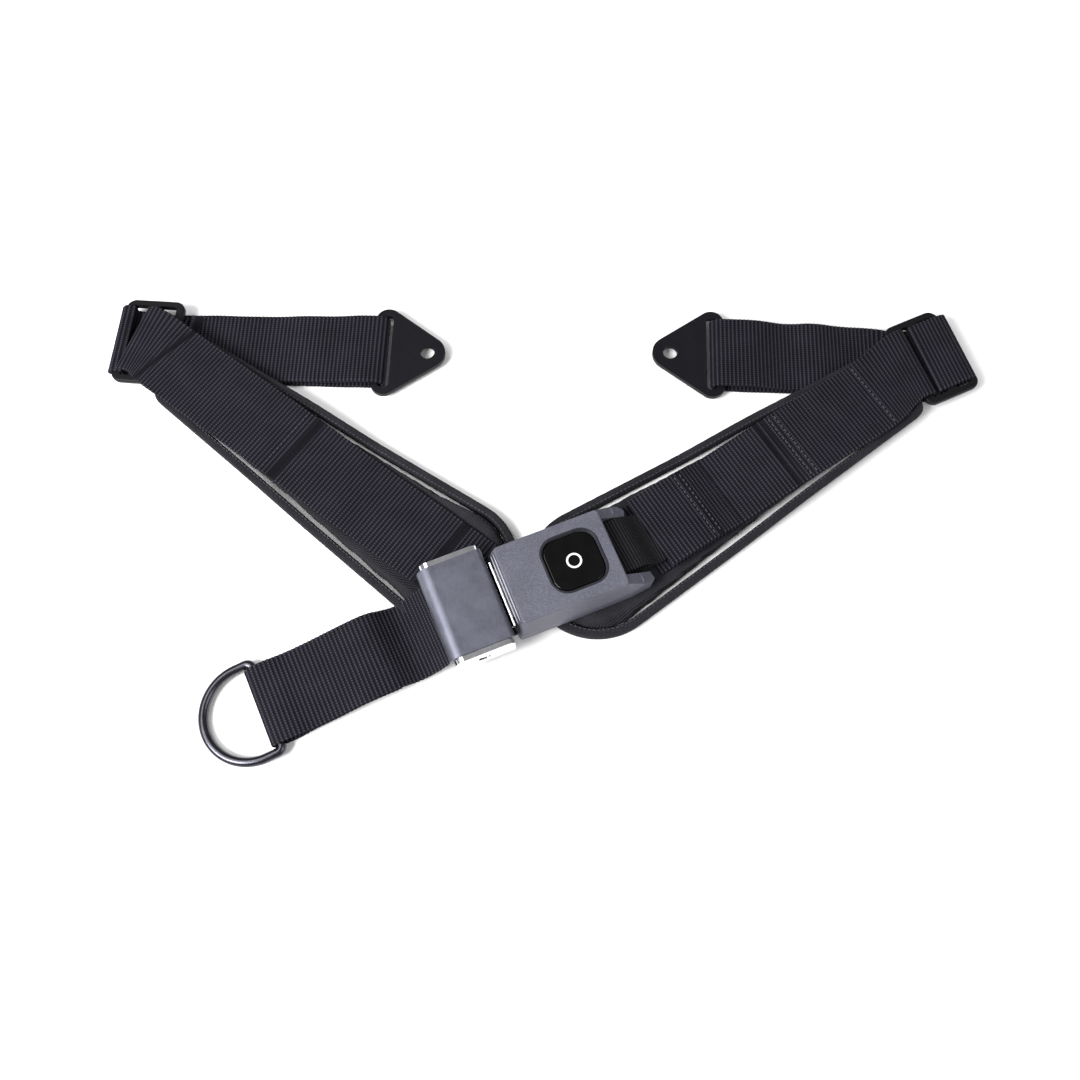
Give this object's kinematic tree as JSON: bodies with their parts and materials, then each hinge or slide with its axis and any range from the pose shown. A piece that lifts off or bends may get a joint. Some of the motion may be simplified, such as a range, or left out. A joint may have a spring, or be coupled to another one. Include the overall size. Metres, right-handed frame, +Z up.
{
  "type": "padded positioning belt",
  "caption": "Padded hip positioning belt laid flat: tapered pads, push-button buckle, adjuster tongue with pull ring, looped end straps with screw-on plates.",
  "frame": {"origin": "on the table, under the middle of the belt's box", "axes": "+X from the left end plate to the right one, +Y from the pull ring's side towards the end plates, +Z up off the table"},
  "size_m": [0.436, 0.236, 0.0271],
  "materials": {
    "buckle_plastic": "fine grained, dark blue-grey",
    "dark_rim": "dark satin",
    "zinc_steel": "zinc plated",
    "button_gloss": "high gloss black",
    "button_mark": "white pad print",
    "spring_steel": "bright wire",
    "inner_plastic": "natural acetal",
    "tongue_chrome": "bright plated",
    "cover_satin": "satin black",
    "narrow_webbing": "fine black webbing",
    "webbing": "ribbed blue-black webbing",
    "ring_metal": "dark gunmetal gloss",
    "slide_plastic": "satin black",
    "pad_fabric": "close black weave",
    "foam": "closed-cell foam",
    "binding": "stitched edge tape",
    "plate_coating": "satin black powder coat"
  },
  "bodies": {
    "right_half": {"top_cover": "buckle_plastic", "bottom_cover": "buckle_plastic", "button_bezel": "dark_rim", "cover_screws": "zinc_steel", "latch_frame": "zinc_steel", "pawl_pin": "zinc_steel", "anchor_pin": "zinc_steel", "button_spring": "spring_steel", "ejector_spring": "spring_steel", "buckle_loop_web": "narrow_webbing", "right_pad_backing": "pad_fabric", "right_pad_foam": "foam", "right_pad_face": "pad_fabric", "right_pad_binding": "binding", "right_pad_web": "webbing", "right_web_fold": "webbing", "right_slide": "slide_plastic", "right_end_strap": "webbing"},
    "button": {"push_button": "button_gloss", "button_mark": "button_mark"},
    "pawl": {"latch_pawl": "zinc_steel", "pawl_spring": "spring_steel"},
    "ejector": {"ejector": "inner_plastic"},
    "right_plate": {"right_end_plate": "plate_coating"},
    "left_half": {"tongue_plate": "tongue_chrome", "tongue_cover": "cover_satin", "adjuster_web": "webbing", "left_pad_backing": "pad_fabric", "left_pad_foam": "foam", "left_pad_face": "pad_fabric", "left_pad_binding": "binding", "left_pad_web": "webbing", "left_slide": "slide_plastic", "left_end_strap": "webbing"},
    "adjuster": {"adjuster_bar": "zinc_steel"},
    "ring": {"d_ring": "ring_metal"},
    "left_plate": {"left_end_plate": "plate_coating"}
  },
  "joints": [
    {"name": "button_press", "type": "slide", "parent": "right_half", "child": "button", "axis": [0, 0, -1], "range_m": [0, 0.0022], "stiffness_N_per_m": 400, "springref_m": -0.002, "deforming": ["button_spring"]},
    {"name": "pawl_turn", "type": "hinge", "parent": "right_half", "child": "pawl", "pos_m": [0.01956, -0.02706, 0.01345], "axis": [0.3746, -0.9272, 0], "range_deg": [0, 10]},
    {"name": "tongue_release", "type": "slide", "parent": "right_half", "child": "left_half", "axis": [-0.9272, -0.3746, 0], "range_m": [0, 0.045]},
    {"name": "ejector_push", "type": "slide", "parent": "right_half", "child": "ejector", "axis": [-0.9272, -0.3746, 0], "range_m": [0, 0.0072]},
    {"name": "adjuster_slide", "type": "slide", "parent": "left_half", "child": "adjuster", "axis": [-0.9272, -0.3746, 0], "range_m": [0, 0.0014]},
    {"name": "ring_swing", "type": "hinge", "parent": "left_half", "child": "ring", "pos_m": [-0.12449, -0.09085, 0.0043], "axis": [-0.4226, 0.9063, 0], "range_deg": [0, 150]},
    {"name": "left_plate_swing", "type": "hinge", "parent": "left_half", "child": "left_plate", "pos_m": [-0.08469, 0.09007, 0.0043], "axis": [-0.033, -0.9995, 0], "range_deg": [0, 100]},
    {"name": "right_plate_swing", "type": "hinge", "parent": "right_half", "child": "right_plate", "pos_m": [0.09001, 0.08827, 0.0043], "axis": [0.0362, 0.9993, 0], "range_deg": [0, 100]}
  ],
  "couplings": [
    {"joint": "pawl_turn", "follows": "button_press", "rad_per_m": 77.273},
    {"joint": "ejector_push", "follows": "tongue_release", "ratio": 0.16}
  ]
}
